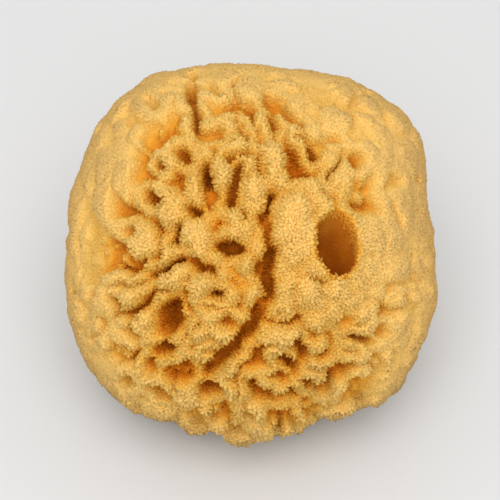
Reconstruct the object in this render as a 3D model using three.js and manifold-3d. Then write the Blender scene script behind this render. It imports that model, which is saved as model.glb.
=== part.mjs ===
// A natural wool bath sponge: one lumpy, squarish ball of horny fibre, cut off flat where it grew on
// rock. Its crown is broken into frayed lobes by pits, slits and winding channels, and one wide round
// mouth opens to the right of the crown's middle. Its flanks were trimmed and are smoother.
//
// Millimetres, +Z up. The origin is the middle of the flat cut face that the sponge rests on.
// The surface is the reach of the fibre tips.

import * as THREE from "three";
import { mergeVertices } from "three/addons/utils/BufferGeometryUtils.js";
import Module from "manifold-3d";

// Body: half sizes across, up and through the crown, which leans back from the horizon
const HALF_WIDTH = 70;
const HALF_LENGTH = 72.5;
const HALF_DEPTH = 66;
const SQUARENESS = 2.5;
const CROWN_ELEVATION = THREE.MathUtils.degToRad(50);
const CENTRE = new THREE.Vector3(0, 6, 60);
const BALL_DETAIL = 12;
const CROWN_CROWDING = 0.3;

// Swells and hollows of the body's outline: where they lie round the crown, their spread and height
const SWELLS = [
  { angle: 15, spread: 9, height: -1.9 },
  { angle: 38, spread: 12, height: 2.6 },
  { angle: 75, spread: 10, height: -1.7 },
  { angle: 120, spread: 10, height: 1.4 },
  { angle: 152, spread: 9, height: -1.1 },
  { angle: 198, spread: 12, height: 1.2 },
  { angle: 247, spread: 13, height: -2.6 },
  { angle: 297, spread: 10, height: -4.6 },
  { angle: 345, spread: 9, height: 1.3 },
];

// Lobes that the whole surface is divided into: tall on the crown, low where the flanks were trimmed
const LOBE_SIZE = 13;
const LOBE_VALLEY = 4.5;
const LOBE_HEIGHT = { flank: 2.2, crown: 3.8 };
const LOBE_SALT = 11;
const CUT_EDGE = [0, 16];

// Behind the crown the lobes were trimmed low: the share of their height that is left there, and how
// far before the body's middle they start to gain the rest and have it
const LOBES_BEHIND = 0.3;
const LOBES_GAIN = [0, 30];

// High on the crown the lobes are long: above this height, as it is seen, only a share of it counts
const LONG_LOBES_FROM = 6;
const LONG_LOBES_SHARE = 0.62;

// The frayed part of the crown, as it is seen: its middle, half sizes, the shares of them between
// which it gives way to the trimmed flanks, and how far behind and before the middle it fades
const FRAYED_MIDDLE = { x: -2, y: -11 };
const FRAYED_HALF = { x: 64, y: 88 };
const FRAYED_EDGE = [0.55, 1.12];
const FRAYED_BACK = [-18, 16];

// The soft valley that each pit and channel of the crown lies in, beyond its own edge
const VALLEY_REACH = 3.5;
const VALLEY_SHARE = 0.22;

// How far each pit and channel is tipped from the surface's own direction towards the crown's
const HOLLOW_UPRIGHT = 0.15;

// Clefts that part the lobes low on the crown: how far down they open, as it is seen, how wide and
// deep they are, how frayed the surface is where they open, and the round places they leave whole
const CLEFT_OPENS = [0, 30];
const CLEFT_WIDTH = [0, 7];
const CLEFT_DEPTH = 4.5;
const CLEFT_FRAYED = [0, 0.6];
const WHOLE_PLACES = [
  { x: 15, y: -13, radius: 11 },
  { x: 27, y: -22, radius: 10 },
  { x: 48, y: 2, radius: 14 },
  { x: 17, y: 7, radius: 13 },
  { x: 20, y: 22, radius: 8 },
  { x: 42, y: -14, radius: 12 },
];

// The mouth: places are x to the right and y up, as the crown is seen from this far away
const EYE_DISTANCE = 780;
const MOUTH = { x: 33, y: 3.6, width: 16.8, length: 21, turn: 12, depth: 34, leanRight: 0.27, leanUp: 0.47 };
const MOUTH_SIDES = 14;
const MOUTH_PROFILE = [
  [0, 6],
  [1.2, 6],
  [1.0, -1],
  [0.93, -14],
  [0.78, -26],
  [0.4, -33],
  [0, -34],
];

// Pits of the crown: place, size across and along, how far they are turned, and depth
const PITS = [
  { x: -33.5, y: -26.5, width: 11.5, length: 14, turn: -20, depth: 12 },
  { x: -35, y: -39.5, width: 5.5, length: 7.5, turn: 80, depth: 9 },
  { x: -13.5, y: -16.5, width: 4, length: 7, turn: 75, depth: 8 },
  { x: -9, y: 2.5, width: 5.5, length: 11, turn: 85, depth: 10 },
  { x: -39.5, y: 21.5, width: 5.5, length: 8, turn: 70, depth: 7 },
  { x: -27.5, y: 39.5, width: 5.5, length: 7.5, turn: 40, depth: 7 },
  { x: -36, y: 35.5, width: 4, length: 5, turn: 30, depth: 5 },
  { x: -23.5, y: 16.5, width: 5, length: 7, turn: 60, depth: 7 },
  { x: -16.5, y: -7, width: 4.5, length: 6, turn: 60, depth: 6 },
  { x: 3, y: -6.5, width: 5.5, length: 7, turn: 20, depth: 7 },
  { x: -2, y: 14.5, width: 3, length: 5, turn: 0, depth: 5 },
  { x: 24, y: 41.5, width: 4, length: 6, turn: 20, depth: 7 },
  { x: 41, y: 36.5, width: 5.5, length: 7, turn: 80, depth: 6 },
  { x: -47.5, y: 8.5, width: 4.5, length: 7, turn: 80, depth: 4 },
  { x: -39.5, y: 59, width: 6, length: 8, turn: 60, depth: 3 },
  { x: 57, y: 27.5, width: 5, length: 9, turn: -35, depth: 3 },
  { x: -9.5, y: -28, width: 4.5, length: 8, turn: 80, depth: 5 },
  { x: 0.5, y: -54, width: 3.5, length: 4.5, turn: 30, depth: 8 },
  { x: -1.5, y: -64, width: 3.5, length: 4.5, turn: 60, depth: 7 },
  { x: 18.5, y: -36.5, width: 4.5, length: 6, turn: 0, depth: 6 },
  { x: 21, y: -41, width: 3, length: 5, turn: 0, depth: 7 },
  { x: 17, y: -46, width: 4, length: 4.5, turn: 60, depth: 8 },
  { x: 10, y: -51, width: 3, length: 6, turn: 80, depth: 8 },
  { x: 13, y: -43, width: 4.5, length: 6, turn: 30, depth: 6 },
  { x: 29.5, y: -54, width: 4.5, length: 5, turn: 0, depth: 9 },
  { x: 24, y: -52.5, width: 3, length: 6, turn: 60, depth: 7 },
  { x: 44, y: -34, width: 4, length: 9, turn: 80, depth: 6 },
  { x: 52, y: -30.5, width: 4.5, length: 7, turn: 80, depth: 4 },
  { x: -40.5, y: -45.5, width: 4.5, length: 6, turn: 0, depth: 6 },
  { x: -47, y: -32, width: 4.5, length: 9, turn: 70, depth: 4 },
  { x: -50, y: -51, width: 4.5, length: 7, turn: 60, depth: 5 },
  { x: -38, y: -55, width: 4.5, length: 7, turn: 60, depth: 6 },
];
const PIT_SIDES = 6;
const PIT_FLOOR = 0.45;

// Channels and slits of the crown: each runs through its points at one width and depth
const CHANNELS = [
  { width: 4.8, depth: 10, path: [[8, 24], [5, 15], [6.5, 7], [9, 1], [6.5, -7], [7.5, -18]] },
  { width: 6.5, depth: 9, path: [[5.5, -20], [2, -28], [-7, -38.5], [-17, -47.5]] },
  { width: 3.6, depth: 7, path: [[4.5, -27.5], [12.5, -29.5], [19, -27]] },
  { width: 4.2, depth: 8, path: [[-27.5, -2.5], [-33, -6.5], [-41, -9.5]] },
  { width: 2.8, depth: 5, path: [[-42.5, -11.5], [-48, -13.5], [-56, -12.5]] },
  { width: 4, depth: 8, path: [[-23.5, -2], [-21.5, -7.5]] },
  { width: 4, depth: 7, path: [[-23.5, 66], [-20.5, 47], [-12.5, 48]] },
  { width: 4, depth: 4, path: [[-23, 65], [-13, 64]] },
  { width: 4.6, depth: 9, path: [[-18.5, 35], [-17, 20]] },
  { width: 4.2, depth: 7, path: [[-5, 35], [-8.5, 20]] },
  { width: 4.2, depth: 8, path: [[-29, 10], [-31, 4]] },
  { width: 4.6, depth: 5, path: [[-6, 51.5], [-2, 45.5]] },
  { width: 4.2, depth: 5, path: [[-9.5, 38.5], [-1, 40.5]] },
  { width: 4.4, depth: 5, path: [[5, 62], [12, 58.5], [19.5, 51]] },
  { width: 4, depth: 5, path: [[8, 55.5], [9.5, 45.5]] },
  { width: 3.8, depth: 6, path: [[20.5, 47], [25, 44], [33.5, 45]] },
  { width: 2.6, depth: 6, path: [[35.5, 39], [31, 30]] },
  { width: 3.6, depth: 5, path: [[4, 39], [5, 32.5]] },
  { width: 3.6, depth: 8, path: [[-26.5, -15.5], [-24, -23]] },
  { width: 3, depth: 5, path: [[-23.5, -37], [-13, -33.5]] },
  { width: 5, depth: 8, path: [[-20, -56], [-13, -55]] },
  { width: 4, depth: 3, path: [[-58.5, -23], [-61, -33.5]] },
  { width: 3.6, depth: 6, path: [[-36, -57.5], [-27, -60.5]] },
  { width: 4, depth: 11, path: [[3, -57.5], [10, -59], [17.5, -58.5]] },
  { width: 4, depth: 7, path: [[30, -50.5], [36, -48], [41, -45.5]] },
  { width: 3.6, depth: 6, path: [[32, -33.5], [31, -39.5], [27, -42]] },
];
const CHANNEL_SIDES = 6;
const CHANNEL_FLOOR = 0.4;

// Notches in the outline at the lower right, where tufts were trimmed away
const NOTCHES = [
  { x: 67.5, y: -38, width: 9 },
  { x: 61.5, y: -47, width: 8 },
];
const NOTCH_LENGTH = 13;
const NOTCH_SINK = 0.1;
const NOTCH_SIDES = 8;

// Small canals of the flanks and the back, spread evenly by the golden angle
const FLANK_CANALS = 64;
const FLANK_FROM = -0.97;
const FLANK_TO = 0.28;
const FLANK_SIDES = 5;
const FLANK_WIDTH = [3.5, 7];
const FLANK_DEPTH = [3, 9];
const FLANK_SALT = 29;

// Cut ends of canals in the face that the sponge rests on: they keep clear of its middle
const BASE_PORES = 9;
const BASE_PORE_RING = [13, 31];
const BASE_PORE_RADIUS = [1.6, 3.4];
const BASE_PORE_DEPTH = 7;
const BASE_SALT = 43;

// How far every cutter stands out of the surface
const CUTTER_RISE = 5;

// Directions across, up and out of the crown
const ACROSS = new THREE.Vector3(1, 0, 0);
const UP = new THREE.Vector3(0, Math.sin(CROWN_ELEVATION), Math.cos(CROWN_ELEVATION));
const OUT = new THREE.Vector3(0, -Math.cos(CROWN_ELEVATION), Math.sin(CROWN_ELEVATION));
const GOLDEN_ANGLE = Math.PI * (3 - Math.sqrt(5));

const wasm = await Module();
wasm.setup();

// An even number from 0 to 1 for a cell of a grid
function chance(i, j, k, salt) {
  let h = Math.imul(i, 73856093) ^ Math.imul(j, 19349663) ^ Math.imul(k, 83492791);
  h ^= Math.imul(salt, 2654435761);
  h = Math.imul(h ^ (h >>> 15), 2246822519);
  h = Math.imul(h ^ (h >>> 13), 3266489917);
  return ((h ^ (h >>> 16)) >>> 0) / 4294967296;
}

// A number between low and high, the same each time for the same count and salt
function pick([low, high], count, salt) {
  return low + (high - low) * chance(count, 0, 0, salt);
}

// Distances from a place to the two nearest of the seeds scattered one to a cell
function nearestSeeds(place, size, salt) {
  const at = place.clone().divideScalar(size);
  const cell = at.clone().floor();
  let nearest = Infinity;
  let second = Infinity;
  for (let i = cell.x - 1; i <= cell.x + 1; i++) {
    for (let j = cell.y - 1; j <= cell.y + 1; j++) {
      for (let k = cell.z - 1; k <= cell.z + 1; k++) {
        const seed = new THREE.Vector3(
          i + chance(i, j, k, salt),
          j + chance(i, j, k, salt + 1),
          k + chance(i, j, k, salt + 2),
        );
        const distance = seed.distanceTo(at);
        if (distance < nearest) {
          second = nearest;
          nearest = distance;
        } else if (distance < second) {
          second = distance;
        }
      }
    }
  }
  return [nearest * size, second * size];
}

// How far the smooth body reaches from its centre in a direction: a rounded square, seen from the
// crown, that is round in depth, with the outline's swells fading towards the crown and the back
function reach(direction) {
  const across = direction.dot(ACROSS);
  const up = direction.dot(UP);
  const out = direction.dot(OUT);
  const square =
    Math.abs(across / HALF_WIDTH) ** SQUARENESS + Math.abs(up / HALF_LENGTH) ** SQUARENESS;
  const radius = 1 / Math.sqrt(square ** (2 / SQUARENESS) + (out / HALF_DEPTH) ** 2);
  const angle = THREE.MathUtils.radToDeg(Math.atan2(up, across));
  let swell = 0;
  for (const { angle: middle, spread, height } of SWELLS) {
    const off = THREE.MathUtils.euclideanModulo(angle - middle + 180, 360) - 180;
    swell += height * Math.exp(-((off / spread) ** 2));
  }
  return radius + swell * (across * across + up * up);
}

// How far a place in the plane of the crown is from a line between two others
function distanceToLine(x, y, [fromX, fromY], [toX, toY]) {
  const [alongX, alongY] = [toX - fromX, toY - fromY];
  const share = ((x - fromX) * alongX + (y - fromY) * alongY) / (alongX ** 2 + alongY ** 2);
  const held = THREE.MathUtils.clamp(share, 0, 1);
  return Math.hypot(x - fromX - held * alongX, y - fromY - held * alongY);
}

// Where the eye sees a place of the smooth body: x to the right, y up, and how far it lies outwards
function seenPlace(direction) {
  const place = direction.clone().multiplyScalar(reach(direction));
  const out = place.dot(OUT);
  const near = 1 - out / EYE_DISTANCE;
  return [place.dot(ACROSS) / near, place.dot(UP) / near, out];
}

// How frayed the surface is at a direction from the centre: 0 on the trimmed flanks, 1 on the crown
function frayedShare(direction) {
  const [x, y, out] = seenPlace(direction);
  const far = Math.hypot((x - FRAYED_MIDDLE.x) / FRAYED_HALF.x, (y - FRAYED_MIDDLE.y) / FRAYED_HALF.y);
  const facing = THREE.MathUtils.smoothstep(out, ...FRAYED_BACK);
  return facing * (1 - THREE.MathUtils.smoothstep(far, ...FRAYED_EDGE));
}

// How deep the soft valleys of the crown's pits and channels are at a direction from the centre
function softValley(direction) {
  const [x, y, out] = seenPlace(direction);
  if (out < 0) {
    return 0;
  }
  let sink = 0;
  const lower = (distance, width, depth) => {
    const beyond = Math.max(distance - width / 2, 0) / VALLEY_REACH;
    sink = Math.max(sink, VALLEY_SHARE * depth * Math.exp(-(beyond ** 2)));
  };
  for (const pit of PITS) {
    lower(Math.hypot(x - pit.x, y - pit.y), (pit.width + pit.length) / 2, pit.depth);
  }
  for (const { width, depth, path } of CHANNELS) {
    for (let i = 1; i < path.length; i++) {
      lower(distanceToLine(x, y, path[i - 1], path[i]), width, depth);
    }
  }
  return sink;
}

// How deep the cleft between two lobes is, this much nearer to the one than to the other
function cleftDepth(direction, apart) {
  const { smoothstep } = THREE.MathUtils;
  const [x, y] = seenPlace(direction);
  let depth = CLEFT_DEPTH * (1 - smoothstep(apart, ...CLEFT_WIDTH));
  depth *= smoothstep(-y, ...CLEFT_OPENS) * smoothstep(frayedShare(direction), ...CLEFT_FRAYED);
  for (const whole of WHOLE_PLACES) {
    depth *= smoothstep(Math.hypot(x - whole.x, y - whole.y) / whole.radius, 0.8, 1.2);
  }
  return depth;
}

// A place on the body's surface, with its lobes: they stand proud, with valleys between them
function surfacePoint(direction) {
  const place = direction.clone().multiplyScalar(reach(direction)).add(CENTRE);
  const [, seenHeight, out] = seenPlace(direction);
  const drawnDown = (1 - LONG_LOBES_SHARE) * Math.max(seenHeight - LONG_LOBES_FROM, 0);
  const [nearest, second] = nearestSeeds(place.clone().addScaledVector(UP, -drawnDown), LOBE_SIZE, LOBE_SALT);
  const valley = Math.exp(-(((second - nearest) / LOBE_VALLEY) ** 2));
  const dome = 1 - (nearest / (0.9 * LOBE_SIZE)) ** 2;
  const aboveCut = THREE.MathUtils.smoothstep(place.z, ...CUT_EDGE);
  const left = THREE.MathUtils.lerp(LOBES_BEHIND, 1, THREE.MathUtils.smoothstep(out, ...LOBES_GAIN));
  const height = left * THREE.MathUtils.lerp(LOBE_HEIGHT.flank, LOBE_HEIGHT.crown, frayedShare(direction));
  const lift = height * (0.35 * dome - 0.65 * valley) - cleftDepth(direction, second - nearest);
  return place.addScaledVector(direction, aboveCut * lift - softValley(direction));
}

// Where a hollow opens at a direction from the centre: on the smooth body, sunk by its soft valley
function hollowPlace(direction) {
  const distance = reach(direction) - softValley(direction);
  return direction.clone().multiplyScalar(distance).add(CENTRE);
}

// The direction from the centre to what the eye sees at x to the right and y up of the crown
function seenDirection(x, y) {
  let out = HALF_DEPTH;
  const direction = new THREE.Vector3();
  for (let step = 0; step < 12; step++) {
    const near = 1 - out / EYE_DISTANCE;
    direction.set(0, 0, 0);
    direction.addScaledVector(ACROSS, x * near);
    direction.addScaledVector(UP, y * near);
    direction.addScaledVector(OUT, out);
    direction.normalize();
    out += 0.6 * (direction.dot(OUT) * reach(direction) - out);
    out = Math.max(out, 2);
  }
  return direction;
}

// The way out of the smooth surface at a direction from the centre
function surfaceNormal(direction) {
  const side = new THREE.Vector3().crossVectors(direction, new THREE.Vector3(0.31, 0.17, 0.94)).normalize();
  const other = new THREE.Vector3().crossVectors(direction, side).normalize();
  const step = 0.03;
  const point = (along, amount) => {
    const turned = direction.clone().addScaledVector(along, amount).normalize();
    return turned.multiplyScalar(reach(turned));
  };
  const alongSide = point(side, step).sub(point(side, -step));
  const alongOther = point(other, step).sub(point(other, -step));
  const normal = alongSide.cross(alongOther).normalize();
  return normal.dot(direction) < 0 ? normal.negate() : normal;
}

// A closed geometry as a solid that can be cut
function solidOf(geometry) {
  const bare = geometry.clone();
  bare.deleteAttribute("normal");
  bare.deleteAttribute("uv");
  const merged = mergeVertices(bare, 1e-4);
  return new wasm.Manifold(
    new wasm.Mesh({
      numProp: 3,
      vertProperties: new Float32Array(merged.attributes.position.array),
      triVerts: new Uint32Array(merged.index.array),
    }),
  );
}

// A geometry turned so that its Y axis is the axis and its X axis lies towards a heading, then moved
function setAlong(geometry, axis, heading, place) {
  const y = axis.clone().normalize();
  const z = new THREE.Vector3().crossVectors(heading, y).normalize();
  const x = new THREE.Vector3().crossVectors(y, z);
  const turn = new THREE.Matrix4().makeBasis(x, y, z).setPosition(place);
  return geometry.applyMatrix4(turn);
}

// A cutter that narrows downwards, from above the surface, where it has its length and width, to its
// floor, a share as wide
function taper(length, width, depth, floor, sides) {
  const height = depth + CUTTER_RISE;
  const top = 1 + ((1 - floor) * CUTTER_RISE) / depth;
  const prism = new THREE.CylinderGeometry(top / 2, floor / 2, height, sides);
  prism.translate(0, CUTTER_RISE - height / 2, 0);
  return prism.scale(length, 1, width);
}

// The lumpy ball before anything is cut from it, with its faces crowded towards the crown
function makeBall() {
  const ball = new THREE.IcosahedronGeometry(1, BALL_DETAIL);
  const positions = ball.attributes.position;
  const direction = new THREE.Vector3();
  for (let i = 0; i < positions.count; i++) {
    direction.fromBufferAttribute(positions, i).normalize();
    direction.addScaledVector(OUT, CROWN_CROWDING).normalize();
    const point = surfacePoint(direction);
    positions.setXYZ(i, point.x, point.y, point.z);
  }
  return ball;
}

// The wide mouth, a long funnel that leans to the right and up from its foot
function makeMouth() {
  const profile = MOUTH_PROFILE.map(([radius, height]) => new THREE.Vector2(radius / 2, height));
  const funnel = new THREE.LatheGeometry(profile.reverse(), MOUTH_SIDES);
  funnel.scale(MOUTH.length, 1, MOUTH.width);
  const direction = seenDirection(MOUTH.x, MOUTH.y);
  const axis = OUT.clone().addScaledVector(ACROSS, MOUTH.leanRight).addScaledVector(UP, MOUTH.leanUp);
  const heading = UP.clone().applyAxisAngle(OUT, THREE.MathUtils.degToRad(MOUTH.turn));
  const place = direction.clone().multiplyScalar(reach(direction)).add(CENTRE);
  return setAlong(funnel, axis, heading, place);
}

// A pit of the crown, sunk along the surface's own direction, which is tipped a little to the crown's
function makePit({ x, y, width, length, turn, depth }) {
  const direction = seenDirection(x, y);
  const axis = surfaceNormal(direction).addScaledVector(OUT, HOLLOW_UPRIGHT);
  const heading = UP.clone().applyAxisAngle(OUT, THREE.MathUtils.degToRad(turn));
  return setAlong(taper(length, width, depth, PIT_FLOOR, PIT_SIDES), axis, heading, hollowPlace(direction));
}

// The stretches of a channel, one for each pair of its points, overlapping where they meet
function makeChannel({ width, depth, path }) {
  const stretches = [];
  for (let i = 1; i < path.length; i++) {
    const [from, to] = [path[i - 1], path[i]].map(([x, y]) => hollowPlace(seenDirection(x, y)));
    const heading = to.clone().sub(from);
    const middle = from.clone().add(to).multiplyScalar(0.5);
    const direction = middle.clone().sub(CENTRE).normalize();
    const axis = surfaceNormal(direction).addScaledVector(OUT, HOLLOW_UPRIGHT);
    const length = heading.length() + 0.7 * width;
    const prism = taper(length, width, depth, CHANNEL_FLOOR, CHANNEL_SIDES);
    stretches.push(setAlong(prism, axis, heading, middle));
  }
  return stretches;
}

// A notch in the outline: a barrel laid along the eye's way past the rim
function makeNotch({ x, y, width }) {
  const direction = ACROSS.clone().multiplyScalar(x).addScaledVector(UP, y).normalize();
  const place = direction.clone().multiplyScalar(reach(direction) + NOTCH_SINK * width).add(CENTRE);
  const barrel = new THREE.CylinderGeometry(width / 2, width / 2, NOTCH_LENGTH, NOTCH_SIDES);
  return setAlong(barrel, OUT, direction, place);
}

// The small canals of the flanks and the back
function makeFlankCanals() {
  const canals = [];
  for (let i = 0; i < FLANK_CANALS; i++) {
    const out = THREE.MathUtils.lerp(FLANK_FROM, FLANK_TO, (i + 0.5) / FLANK_CANALS);
    const round = Math.sqrt(1 - out * out);
    const turn = i * GOLDEN_ANGLE;
    const direction = OUT.clone().multiplyScalar(out);
    direction.addScaledVector(ACROSS, round * Math.cos(turn));
    direction.addScaledVector(UP, round * Math.sin(turn));
    const place = direction.clone().multiplyScalar(reach(direction)).add(CENTRE);
    if (place.z < 2 * CUTTER_RISE) {
      continue;
    }
    const width = pick(FLANK_WIDTH, i, FLANK_SALT);
    const length = width * (1 + 0.8 * chance(i, 1, 0, FLANK_SALT));
    const depth = pick(FLANK_DEPTH, i, FLANK_SALT + 1);
    const spin = Math.PI * chance(i, 2, 0, FLANK_SALT);
    const axis = surfaceNormal(direction);
    const side = new THREE.Vector3().crossVectors(axis, ACROSS).normalize().applyAxisAngle(axis, spin);
    canals.push(setAlong(taper(length, width, depth, PIT_FLOOR, FLANK_SIDES), axis, side, place));
  }
  return canals;
}

// The cut ends of canals in the resting face
function makeBasePores() {
  const pores = [];
  for (let i = 0; i < BASE_PORES; i++) {
    const radius = pick(BASE_PORE_RADIUS, i, BASE_SALT);
    const ring = pick(BASE_PORE_RING, i, BASE_SALT + 1);
    const turn = i * GOLDEN_ANGLE;
    const pore = new THREE.CylinderGeometry(0.6 * radius, radius, 2 * BASE_PORE_DEPTH, FLANK_SIDES);
    pore.rotateX(Math.PI / 2).translate(ring * Math.cos(turn), ring * Math.sin(turn), 0);
    pores.push(pore);
  }
  return pores;
}

// Everything below the flat cut
function makeBelowCut() {
  const size = 4 * HALF_LENGTH;
  return new THREE.BoxGeometry(size, size, size).translate(0, 0, -size / 2);
}

// The sponge: the ball less every hollow, and its largest body where hollows cut a crumb free
function makeSponge() {
  const cutters = [
    makeMouth(),
    ...PITS.map(makePit),
    ...CHANNELS.flatMap(makeChannel),
    ...NOTCHES.map(makeNotch),
    ...makeFlankCanals(),
    ...makeBasePores(),
    makeBelowCut(),
  ];
  let sponge = solidOf(makeBall());
  for (const cutter of cutters) {
    sponge = sponge.subtract(solidOf(cutter));
  }
  const bodies = sponge.decompose();
  bodies.sort((one, other) => other.volume() - one.volume());
  const mesh = bodies[0].getMesh();
  const geometry = new THREE.BufferGeometry();
  geometry.setAttribute("position", new THREE.BufferAttribute(mesh.vertProperties, 3));
  geometry.setIndex(new THREE.BufferAttribute(mesh.triVerts, 1));
  geometry.computeVertexNormals();
  return geometry;
}

const spongeFibre = new THREE.MeshStandardMaterial({ color: 0xe6ab50, roughness: 0.95, metalness: 0 });
const sponge = new THREE.Mesh(makeSponge(), spongeFibre);
sponge.name = "sponge";

const group = new THREE.Group();
group.add(sponge);

export default group;
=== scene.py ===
"""A natural wool bath sponge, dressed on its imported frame.

The sponge is one grown piece. Its skin is a closed surface worked out on the six squares of a
swollen cube: a rounded body, lobes, pits, winding channels, small canals and one wide mouth. On it
stand short tufts of fibre, gathered in clumps. Sizes are in millimetres until a mesh is made.
"""

import logging
import math
from dataclasses import dataclass, field
from enum import Enum

import bpy
import numpy as np
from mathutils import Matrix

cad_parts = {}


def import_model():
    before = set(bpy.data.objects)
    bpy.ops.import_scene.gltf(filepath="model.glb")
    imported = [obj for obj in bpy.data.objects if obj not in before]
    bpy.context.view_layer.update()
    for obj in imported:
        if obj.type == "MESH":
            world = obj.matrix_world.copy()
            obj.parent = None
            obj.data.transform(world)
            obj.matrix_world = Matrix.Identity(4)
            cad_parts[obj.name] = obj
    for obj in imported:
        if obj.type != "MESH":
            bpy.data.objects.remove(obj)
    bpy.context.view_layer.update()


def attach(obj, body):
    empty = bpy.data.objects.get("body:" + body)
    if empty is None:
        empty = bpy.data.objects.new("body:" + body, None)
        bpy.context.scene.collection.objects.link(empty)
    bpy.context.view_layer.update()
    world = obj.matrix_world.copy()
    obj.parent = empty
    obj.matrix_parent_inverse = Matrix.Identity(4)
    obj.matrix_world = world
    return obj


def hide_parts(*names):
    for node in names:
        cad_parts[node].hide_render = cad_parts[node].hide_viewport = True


MM = 0.001
NODE = "sponge"
BODY = "root"
COLOUR_MAP = "OFBake"
SHADE_ENDS = (0.02, 0.98)
GOLDEN_ANGLE = math.pi * (3 - math.sqrt(5))

Array = np.ndarray

log = logging.getLogger("sponge")


def smooth_step(value: Array, low: float, high: float) -> Array:
    """Rises from 0 at low to 1 at high, with level ends.

    Args:
        value: Numbers of any shape.
        low: Where the rise starts.
        high: Where it ends.

    Returns:
        t * t * (3 - 2 * t), where t is the value's share of the way from low to high.
    """
    share = np.clip((value - low) / (high - low), 0, 1)
    return share * share * (3 - 2 * share)


def between(ends: tuple[float, float], share: Array) -> Array:
    """The first end where the share is 0, the second where it is 1, and evenly on between."""
    return ends[0] + (ends[1] - ends[0]) * share


def unit(vectors: Array) -> Array:
    """Vectors in rows, each scaled to length 1."""
    return vectors / np.maximum(np.linalg.norm(vectors, axis=-1, keepdims=True), 1e-12)


def dot(one: Array, other: Array) -> Array:
    """The dot product of each row of one with the same row of the other."""
    return (one * other).sum(axis=-1)


def chance(i: Array, j: Array, k: Array, salt: int) -> Array:
    """An even number from 0 to 1 for each cell of a grid, always the same for the same cell.

    Args:
        i: Whole numbers of the cells along the first axis.
        j: Along the second axis.
        k: Along the third axis.
        salt: Chooses one of many unlike scatterings.

    Returns:
        The cell's three numbers, stirred together by multiplying and shifting 32-bit words.
    """
    words = [np.asarray(a).astype(np.int64).astype(np.uint32) for a in (i, j, k)]
    stirred = words[0] * np.uint32(73856093) ^ words[1] * np.uint32(19349663)
    stirred = stirred ^ words[2] * np.uint32(83492791)
    stirred = stirred ^ np.uint32(salt * 2654435761 % 2**32)
    stirred = (stirred ^ (stirred >> np.uint32(15))) * np.uint32(2246822519)
    stirred = (stirred ^ (stirred >> np.uint32(13))) * np.uint32(3266489917)
    return (stirred ^ (stirred >> np.uint32(16))) / 2.0**32


def soft_noise(places: Array, size: float, salt: int) -> Array:
    """Smooth noise from -1 to 1 with swells about as wide as size.

    Args:
        places: Points in rows.
        size: The width of a cell.
        salt: Chooses the noise.

    Returns:
        Each cell corner's own chance, blended over the cell by smooth steps along each axis.
    """
    at = places / size
    cell = np.floor(at)
    share = at - cell
    share = share * share * (3 - 2 * share)
    total = np.zeros(len(places))
    for di in (0, 1):
        for dj in (0, 1):
            for dk in (0, 1):
                weight = np.abs(1 - di - share[:, 0]) * np.abs(1 - dj - share[:, 1])
                weight = weight * np.abs(1 - dk - share[:, 2])
                total += weight * chance(cell[:, 0] + di, cell[:, 1] + dj, cell[:, 2] + dk, salt)
    return 2 * total - 1


def nearest_seeds(places: Array, size: float, salt: int) -> tuple[Array, Array, Array]:
    """Finds the two nearest of the seeds that are scattered one to a cell.

    Args:
        places: Points in rows.
        size: The width of a cell.
        salt: Chooses the scattering.

    Returns:
        The distance to the nearest seed, the distance to the next, and the nearest seed's place.
    """
    at = places / size
    cell = np.floor(at)
    nearest = np.full(len(places), np.inf)
    second = np.full(len(places), np.inf)
    seed_at = np.zeros_like(places)
    for step in np.ndindex(3, 3, 3):
        corner = cell + np.array(step) - 1
        seed = np.stack([corner[:, a] + chance(*corner.T, salt + a) for a in range(3)], axis=1)
        distance = np.linalg.norm(seed - at, axis=1)
        closer = distance < nearest
        second = np.where(closer, nearest, np.minimum(second, distance))
        nearest = np.where(closer, distance, nearest)
        seed_at[closer] = seed[closer]
    return nearest * size, second * size, seed_at * size


@dataclass(frozen=True)
class Crown:
    """The way that the frayed crown faces, and where it is seen from."""

    elevation: float = math.radians(50)
    centre: tuple[float, float, float] = (0, 6, 60)
    eye_distance: float = 780
    frayed_middle: tuple[float, float] = (-2, -11)
    frayed_half: tuple[float, float] = (64, 88)
    frayed_edge: tuple[float, float] = (0.55, 1.12)
    frayed_back: tuple[float, float] = (-18, 16)

    @property
    def across(self) -> Array:
        """The direction to the right, seen from the eye."""
        return np.array([1.0, 0, 0])

    @property
    def up(self) -> Array:
        """The direction up, seen from the eye."""
        return np.array([0, math.sin(self.elevation), math.cos(self.elevation)])

    @property
    def out(self) -> Array:
        """The direction out of the crown's middle, towards the eye."""
        return np.array([0, -math.cos(self.elevation), math.sin(self.elevation)])

    def seen(self, places: Array) -> tuple[Array, Array]:
        """Where the eye sees places, in the plane through the centre.

        Args:
            places: Points in rows, measured from the centre.

        Returns:
            Millimetres to the right and up: each place's own, made larger as it is nearer the eye.
        """
        near = 1 - places @ self.out / self.eye_distance
        return places @ self.across / near, places @ self.up / near

    def frayed(self, places: Array) -> Array:
        """How frayed the surface is.

        Args:
            places: Points of the smooth body in rows, measured from the centre.

        Returns:
            1 on the crown and 0 on the trimmed flanks and the back, by how far out each place is
            seen in the oval of the frayed part.
        """
        x, y = self.seen(places)
        (middle_x, middle_y), (half_x, half_y) = self.frayed_middle, self.frayed_half
        far = np.hypot((x - middle_x) / half_x, (y - middle_y) / half_y)
        return (1 - smooth_step(far, *self.frayed_edge)) * smooth_step(places @ self.out, *self.frayed_back)


@dataclass(frozen=True)
class Swell:
    """A swell or hollow of the body's outline."""

    angle: float
    spread: float
    height: float


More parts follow.
